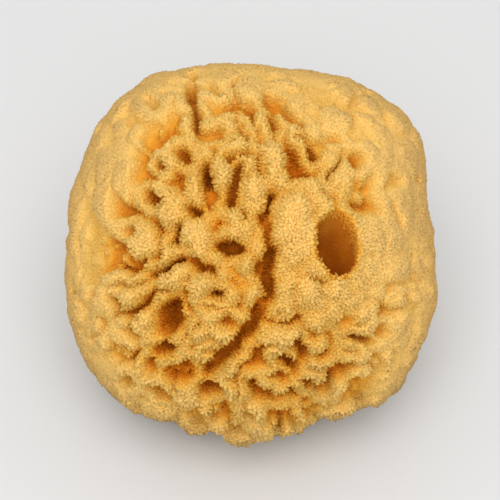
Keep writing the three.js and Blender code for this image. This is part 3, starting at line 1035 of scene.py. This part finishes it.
@dataclass(frozen=True)
class Tufts:
    """Short blunt tufts of fibre, one to each small cell of the skin, so that they stand evenly.

    Where a field is a pair for trimmed and frayed, the first number is the flanks', the second the
    crown's. A field named for chance is how far a tuft's own luck changes a value.
    """

    crown: Crown
    shades: Shades
    most: int = 16500
    tries: int = 150000
    sides: int = 4
    front_cell: float = 0.98
    back_cell: float = 1.3
    back_from: float = -15
    cell_salt: int = 131
    lowest: float = 1.2
    length: tuple[float, float] = (1.1, 2.7)
    length_chance: tuple[float, float] = (0.3, 0.7)
    length_middle: float = 0.6
    knob_length: tuple[float, float] = (0.75, 1.1)
    sunk_shorter: float = 0.5
    deepest: float = 6
    root: float = 0.3
    stoutness: float = 1.05
    stouter: tuple[float, float] = (1.25, 1.0)
    stout_chance: tuple[float, float] = (0.85, 0.3)
    foot_width: float = 0.9
    ring_at: float = 0.6
    ring_along: float = 0.55
    spread: float = 0.12
    roundness: float = 0.5
    shade_chance: tuple[float, float] = (0.03, 0.01)
    # Pale tips: partly the fibre's own paler ends, partly a painted highlight, taken away as painted shade
    # in hollows, on steep walls and low down.
    pale: tuple[float, float] = (0.15, 1.0)
    pale_sunk: float = 0.95
    pale_depth: tuple[float, float] = (1, 5)
    # How much the painted shade low down takes from the tips' paleness.
    pale_painted_low_shade: float = 0.5
    pale_steep: tuple[float, float] = (0.15, 0.6)
    seed: int = 20

    def share_out(self, surface: Surface) -> dict[TuftZone, Array]:
        """Shares the skin out between the zones.

        Args:
            surface: The skin.

        Returns:
            For each zone, how many tufts each square gets as against the others: its area, less
            where it is bare. The front is cut from left to right into three zones of as many
            tufts, so that no seam shows between them.
        """
        middle = surface.points[surface.quads].mean(axis=1)
        out = (middle - np.array(self.crown.centre)) @ self.crown.out
        grown = (1 - surface.bare[surface.quads].mean(axis=1)) * (middle[:, 2] > self.lowest)
        weight = surface.areas() * grown
        front = out >= self.back_from
        order = np.argsort(middle[:, 0])
        share = np.zeros(len(order))
        share[order] = np.cumsum((weight * front)[order])
        third = np.minimum(np.floor(3 * share / share.max()), 2)
        zones = (TuftZone.LEFT, TuftZone.MIDDLE, TuftZone.RIGHT)
        shared = {zone: weight * front * (third == count) for count, zone in enumerate(zones)}
        shared[TuftZone.BACK] = weight * ~front
        return shared

    def sample(self, surface: Surface, weight: Array, rng: np.random.Generator) -> dict[str, Array]:
        """Picks places on the skin.

        Args:
            surface: The skin.
            weight: How many places each square gets, as against the others.
            rng: The seeded source of chance.

        Returns:
            The places with all that the surface knows of them, blended over the squares.
        """
        total = np.cumsum(weight)
        marks = (np.arange(self.tries) + rng.random(self.tries)) / self.tries * total[-1]
        square = surface.quads[np.searchsorted(total, marks).clip(0, len(total) - 1)]
        s, t = rng.random((2, self.tries))
        weights = np.stack([(1 - s) * (1 - t), s * (1 - t), s * t, (1 - s) * t], axis=1)

        def blend(values: Array) -> Array:
            """Values at the corners, blended to the places."""
            at_corners = values[square]
            shape = (self.tries, 4) + (1,) * (at_corners.ndim - 2)
            return (at_corners * weights.reshape(shape)).sum(axis=1)

        names = ("points", "normals", "depth", "frayed", "knob", "painted_low_shade", "steep")
        return {name: blend(getattr(surface, name)) for name in names}

    def gather(
        self, surface: Surface, weight: Array, cell: float, rng: np.random.Generator
    ) -> dict[str, Array]:
        """Gathers the places on the skin into cells, one for each tuft.

        Args:
            surface: The skin.
            weight: How many places each square gets, as against the others.
            cell: The cells' size.
            rng: The seeded source of chance.

        Returns:
            The mean of what is known of each cell's places, and its room: the radius of a round
            patch as large as the cell. Of too many cells, the largest are kept.
        """
        at = self.sample(surface, weight, rng)
        _, _, seed = nearest_seeds(at["points"], cell, self.cell_salt)
        _, group, count = np.unique(np.round(seed, 4), axis=0, return_inverse=True, return_counts=True)
        kept = np.argsort(-count, kind="stable")[: self.most]
        cells = {}
        for name, values in at.items():
            columns = values.reshape(self.tries, -1).T
            sums = [np.bincount(group.reshape(-1), column, len(count)) for column in columns]
            cells[name] = np.squeeze(np.stack(sums, axis=1) / count[:, None])[kept]
        cells["room"] = np.sqrt(count[kept] * weight.sum() / self.tries / math.pi)
        return cells

    def grow(
        self, surface: Surface, weight: Array, zone: TuftZone
    ) -> tuple[Array, Array, Array, Array, Array]:
        """Works out a zone's tufts.

        Args:
            surface: The skin.
            weight: How many tufts each square gets, as against the others.
            zone: Which zone is made.

        Returns:
            The tufts' points, a foot and a ring of as many corners and a tip, their normals, how
            far out along its tuft each lies, each tuft's shade and how pale its tip is.
        """
        rng = np.random.default_rng([self.seed, list(TuftZone).index(zone)])
        cell = self.back_cell if zone is TuftZone.BACK else self.front_cell
        at = self.gather(surface, weight, cell, rng)
        places, normals, frayed = at["points"], unit(at["normals"]), at["frayed"]
        count = len(places)
        own = rng.random(count)
        sunk = np.clip(at["depth"] / self.deepest, 0, 1)
        uneven = between(self.length_chance, frayed)
        length = between(self.length, frayed) * (1 - self.length_middle * uneven + uneven * own)
        length = length * between(self.knob_length, at["knob"]) * (1 - self.sunk_shorter * sunk)
        lean = unit(normals + self.spread * rng.normal(size=(count, 3)))
        side = unit(np.cross(lean, rng.normal(size=(count, 3))))
        other = np.cross(lean, side)
        least, more = self.stout_chance
        radius = self.stoutness * at["room"] * (least + more * rng.random(count))
        radius = radius * between(self.stouter, frayed)
        points, lit, along = [], [], []
        for out, width, share in ((-self.root, self.foot_width, 0.0), (self.ring_at, 1.0, self.ring_along)):
            middle = places + lean * (np.maximum(out, 0) * length + min(out, 0))[:, None]
            for corner in range(self.sides):
                turn = 2 * math.pi * corner / self.sides
                ray = side * math.cos(turn) + other * math.sin(turn)
                points.append(middle + ray * (width * radius)[:, None])
                lit.append(unit(self.roundness * ray + normals))
                along.append(share)
        points.append(places + lean * length[:, None])
        lit.append(normals)
        along.append(1.0)
        # Each tuft takes the place on the scale of the skin where it stands, painted shade and all.
        shade = self.shades.places(at["depth"], frayed, at["knob"], at["painted_low_shade"], at["steep"])
        by_length, by_luck = self.shade_chance
        shade = shade + by_length * (0.5 - own) + by_luck * rng.normal(size=count)
        # How pale the tips are: partly a painted highlight, dimmed as painted shade low down, in hollows
        # and on steep walls.
        pale = between(self.pale, frayed) * (1 - self.pale_painted_low_shade * at["painted_low_shade"])
        pale = pale * (1 - self.pale_sunk * smooth_step(at["depth"], *self.pale_depth))
        pale = pale * (1 - smooth_step(at["steep"], *self.pale_steep))
        shape = np.stack(points, axis=1), np.stack(lit, axis=1), np.array(along)
        return *shape, np.clip(shade, *SHADE_ENDS), pale

    def faces(self, count: int) -> Array:
        """The faces of as many tufts: two for each side of the foot, one for each of the tip."""
        ring = np.arange(self.sides)
        after = (ring + 1) % self.sides
        tip = np.full(self.sides, 2 * self.sides)
        own = np.concatenate([
            np.stack([ring, after, self.sides + after], axis=1),
            np.stack([ring, self.sides + after, self.sides + ring], axis=1),
            np.stack([self.sides + ring, self.sides + after, tip], axis=1),
        ])
        start = (2 * self.sides + 1) * np.arange(count)[:, None, None]
        return (start + own).reshape(-1, 3)


@dataclass(frozen=True)
class FibreFinish:
    """The horny fibre's colours, with pale tips: a scale from a dark painted shade low down, through the
    trimmed flanks' and the crown's own tones, to a deep rust painted shade in a hollow.
    """

    name: str
    # Stop 0 is the dark painted shade low down. 0.1 and 0.26 are the flanks' and the crown's own tones. The
    # stops from 0.42 on carry the painted shade of hollows, deepening to rust.
    scale: tuple[tuple[float, tuple[float, float, float]], ...] = (
        (0.0, (0.26, 0.175, 0.06)),
        (0.1, (0.57, 0.355, 0.118)),
        (0.26, (0.80, 0.505, 0.145)),
        (0.42, (0.74, 0.435, 0.095)),
        (0.6, (0.74, 0.355, 0.04)),
        (0.8, (0.64, 0.20, 0.010)),
        (1.0, (0.38, 0.08, 0.002)),
    )
    # The pale tips' colour: partly the fibre's own paler ends, partly a painted highlight.
    tip: tuple[float, float, float] = (0.97, 0.65, 0.22)
    tip_share: float = 0.4
    tip_power: float = 1.5
    roughness: float = 0.92
    specular: float = 0.02
    bump: float = 0.0
    bump_size: float = 900
    bump_detail: float = 3
    bump_height: float = 0.0006

    def build(self) -> bpy.types.Material:
        """Makes the finish.

        Returns:
            A material whose colour is read from the piece's colour map: its first number is the
            place on the scale of colours, its second how far out along the fibre.
        """
        material = bpy.data.materials.new(self.name)
        material.use_nodes = True
        nodes, links = material.node_tree.nodes, material.node_tree.links
        shader = nodes["Principled BSDF"]
        shader.inputs["Roughness"].default_value = self.roughness
        shader.inputs["Specular IOR Level"].default_value = self.specular
        coordinates = nodes.new("ShaderNodeUVMap")
        coordinates.uv_map = COLOUR_MAP
        parts = nodes.new("ShaderNodeSeparateXYZ")
        links.new(coordinates.outputs["UV"], parts.inputs["Vector"])
        ramp = nodes.new("ShaderNodeValToRGB")
        stops = ramp.color_ramp.elements
        for count, (place, colour) in enumerate(self.scale):
            stop = stops[count] if count < 2 else stops.new(place)
            stop.position = place
            stop.color = (*colour, 1)
        links.new(parts.outputs["X"], ramp.inputs["Fac"])
        pale = parts.outputs["Y"]
        for operation, amount in (("POWER", self.tip_power), ("MULTIPLY", self.tip_share)):
            step = nodes.new("ShaderNodeMath")
            step.operation = operation
            step.inputs[1].default_value = amount
            links.new(pale, step.inputs[0])
            pale = step.outputs[0]
        mix = nodes.new("ShaderNodeMix")
        mix.data_type = "RGBA"
        colour_inputs = [socket for socket in mix.inputs if socket.type == "RGBA"]
        links.new(pale, mix.inputs["Factor"])
        links.new(ramp.outputs["Color"], colour_inputs[0])
        colour_inputs[1].default_value = (*self.tip, 1)
        result = [socket for socket in mix.outputs if socket.type == "RGBA"][0]
        links.new(result, shader.inputs["Base Color"])
        if self.bump:
            self.roughen(material)
        return material

    def roughen(self, material: bpy.types.Material) -> None:
        """Adds a fine felt to a finish's shading.

        Args:
            material: The material, whose shader has no normal of its own yet.
        """
        nodes, links = material.node_tree.nodes, material.node_tree.links
        place = nodes.new("ShaderNodeTexCoord")
        noise = nodes.new("ShaderNodeTexNoise")
        noise.inputs["Scale"].default_value = self.bump_size
        noise.inputs["Detail"].default_value = self.bump_detail
        links.new(place.outputs["Object"], noise.inputs["Vector"])
        bump = nodes.new("ShaderNodeBump")
        bump.inputs["Strength"].default_value = self.bump
        bump.inputs["Distance"].default_value = self.bump_height
        links.new(noise.outputs["Fac"], bump.inputs["Height"])
        links.new(bump.outputs["Normal"], nodes["Principled BSDF"].inputs["Normal"])


def make_mesh(name: str, points: Array, faces: Array, colour_map: Array) -> bpy.types.Object:
    """Makes an object of faces that all have as many corners.

    Args:
        name: The object's name.
        points: Points in rows, in millimetres.
        faces: The corners of each face, in rows.
        colour_map: Two numbers for each corner of each face, in the faces' order.

    Returns:
        The object, smooth-shaded and linked to the scene.
    """
    corners = faces.shape[1]
    mesh = bpy.data.meshes.new(name)
    mesh.vertices.add(len(points))
    mesh.vertices.foreach_set("co", (points * MM).astype(np.float32).ravel())
    mesh.loops.add(faces.size)
    mesh.loops.foreach_set("vertex_index", faces.astype(np.int32).ravel())
    mesh.polygons.add(len(faces))
    mesh.polygons.foreach_set("loop_start", np.arange(0, faces.size, corners, dtype=np.int32))
    mesh.polygons.foreach_set("use_smooth", np.ones(len(faces), dtype=bool))
    uv = mesh.uv_layers.new(name=COLOUR_MAP)
    uv.data.foreach_set("uv", colour_map.astype(np.float32).ravel())
    mesh.update(calc_edges=True)
    mesh.validate()
    piece = bpy.data.objects.new(name, mesh)
    bpy.context.scene.collection.objects.link(piece)
    return piece


def dress(piece: bpy.types.Object, finish: bpy.types.Material) -> None:
    """Gives a piece its finish and ties it to the sponge's body.

    Args:
        piece: The object.
        finish: Its material.
    """
    piece.data.materials.append(finish)
    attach(piece, BODY)


@dataclass(frozen=True)
class Sponge:
    """The whole sponge: its skin and its tufts."""

    skin: SpongeSkin
    tufts: Tufts
    shades: Shades
    # Painted shade: the skin between the crown's tufts is a little darker.
    tuft_gap_shade: float = 0.04
    # The skin's paleness: partly the fibre's own pale ends on the knobs, partly a painted highlight on knob
    # tops that fades out in hollows, where shade falls.
    skin_pale: tuple[float, float] = (0.1, 0.9)
    skin_pale_depth: tuple[float, float] = (0.5, 3)
    skin_finish: FibreFinish = FibreFinish("sponge_skin_fibre", tip_share=0.25, bump=0.6)
    tuft_finish: FibreFinish = FibreFinish("sponge_tuft_fibre")

    def build_skin(self, surface: Surface) -> bpy.types.Object:
        """Makes the skin, which stands for the solid.

        Args:
            surface: The skin's points.

        Returns:
            The skin's object.
        """
        known = surface.depth, surface.frayed, surface.knob, surface.painted_low_shade, surface.steep
        # The skin gets the painted shade of its place, and more painted shade where tufts stand over it on
        # the crown.
        shade = self.shades.places(*known) + self.tuft_gap_shade * surface.frayed
        shade = np.clip(shade, *SHADE_ENDS)
        # Partly a painted highlight: paler on knob tops, and not in hollows.
        shallow = surface.knob * (1 - smooth_step(surface.depth, *self.skin_pale_depth))
        pale = between(self.skin_pale, shallow)
        flat = surface.quads.ravel()
        colour_map = np.stack([shade[flat], pale[flat]], axis=1)
        piece = make_mesh("sponge_skin", surface.points, surface.quads, colour_map)
        dress(piece, self.skin_finish.build())
        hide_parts(NODE)
        return piece

    def build_tufts(
        self, surface: Surface, weight: Array, zone: TuftZone, finish: bpy.types.Material
    ) -> bpy.types.Object:
        """Makes one zone's tufts.

        Args:
            surface: The skin's points.
            weight: How many tufts each square gets, as against the others.
            zone: The zone.
            finish: The tufts' material.

        Returns:
            The tufts' object.
        """
        points, lit, along, shade, pale = self.tufts.grow(surface, weight, zone)
        faces = self.tufts.faces(len(points))
        tuft, corner = np.divmod(faces.ravel(), len(along))
        outward = between(SHADE_ENDS, along[corner] * pale[tuft])
        colour_map = np.stack([shade[tuft], outward], axis=1)
        piece = make_mesh(zone.value, points.reshape(-1, 3), faces, colour_map)
        piece.data.normals_split_custom_set_from_vertices(lit.reshape(-1, 3))
        dress(piece, finish)
        return piece

    def build(self) -> None:
        """Makes every piece of the sponge and reports each."""
        surface = self.skin.shape()
        piece = self.build_skin(surface)
        log.info("%s: %d faces", piece.name, len(piece.data.polygons))
        finish = self.tuft_finish.build()
        for zone, weight in self.tufts.share_out(surface).items():
            piece = self.build_tufts(surface, weight, zone, finish)
            log.info("%s: %d faces", piece.name, len(piece.data.polygons))


@dataclass(frozen=True)
class Studio:
    """A pale floor, soft light from above, and a camera at the photograph's angle."""

    crown: Crown
    lens: float = 150
    sensor: float = 36
    aim_left: float = 0.4
    aim_up: float = 1.1
    floor_size: float = 6
    floor_drop: float = 0.0003
    floor_roughness: float = 0.9
    floor_colour: tuple[float, float, float] = (0.66, 0.66, 0.66)
    world_light: float = 0.8
    key_power: float = 17.5
    key_size: float = 1.3
    key_place: tuple[float, float, float] = (-0.03, -0.8, 1.45)

    def build_floor(self) -> bpy.types.Object:
        half = self.floor_size / 2
        mesh = bpy.data.meshes.new("floor")
        corners = [(-half, -half), (half, -half), (half, half), (-half, half)]
        mesh.from_pydata([(x, y, -self.floor_drop) for x, y in corners], [], [(0, 1, 2, 3)])
        floor = bpy.data.objects.new("floor", mesh)
        bpy.context.scene.collection.objects.link(floor)
        material = bpy.data.materials.new("floor_paint")
        material.use_nodes = True
        shader = material.node_tree.nodes["Principled BSDF"]
        shader.inputs["Base Color"].default_value = (*self.floor_colour, 1)
        shader.inputs["Roughness"].default_value = self.floor_roughness
        mesh.materials.append(material)
        return floor

    def build_light(self) -> None:
        """Lights the scene evenly from all round, and softly from above."""
        world = bpy.data.worlds.new("studio")
        world.use_nodes = True
        background = world.node_tree.nodes["Background"]
        background.inputs["Color"].default_value = (1, 1, 1, 1)
        background.inputs["Strength"].default_value = self.world_light
        bpy.context.scene.world = world
        lamp = bpy.data.lights.new("key", "AREA")
        lamp.shape = "SQUARE"
        lamp.size = self.key_size
        lamp.energy = self.key_power
        key = bpy.data.objects.new("key", lamp)
        key.location = self.key_place
        target = np.array(self.crown.centre) * MM
        key.rotation_euler = look(np.array(self.key_place), target)
        bpy.context.scene.collection.objects.link(key)

    def build_camera(self) -> bpy.types.Object:
        """Makes the camera, out along the crown's own direction."""
        aim = np.array(self.crown.centre) - self.aim_left * self.crown.across + self.aim_up * self.crown.up
        place = (aim + self.crown.eye_distance * self.crown.out) * MM
        lens = bpy.data.cameras.new("camera")
        lens.lens = self.lens
        lens.sensor_width = self.sensor
        camera = bpy.data.objects.new("camera", lens)
        camera.location = place
        camera.rotation_euler = look(place, aim * MM)
        bpy.context.scene.collection.objects.link(camera)
        bpy.context.scene.camera = camera
        return camera

    def build(self) -> None:
        """Makes the floor, the light and the camera."""
        self.build_floor()
        self.build_light()
        self.build_camera()
        bpy.context.scene.view_settings.view_transform = "Standard"


def look(place: Array, target: Array) -> tuple[float, float, float]:
    """The turn that points a camera or a lamp from a place at a target.

    Args:
        place: Where it stands.
        target: What it points at.

    Returns:
        Angles about X, Y and Z: a tilt up from straight down, no roll, and a turn about the
        vertical.
    """
    way = unit(target - place)
    tilt = math.acos(-way[2])
    turn = math.atan2(-way[0], way[1])
    return tilt, 0.0, turn


def main() -> None:
    """Builds the sponge and its studio."""
    logging.basicConfig(level=logging.INFO, format="%(name)s: %(message)s")
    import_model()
    crown = Crown()
    body = Body(crown)
    skin = SpongeSkin(
        crown,
        body,
        Relief(crown),
        CrownHollows(crown),
        FlankCanals(crown, body),
        Mouth(crown, body),
        Notches(crown, body),
    )
    shades = Shades()
    Studio(crown).build()
    Sponge(skin, Tufts(crown, shades), shades).build()


if __name__ == "__main__":
    main()
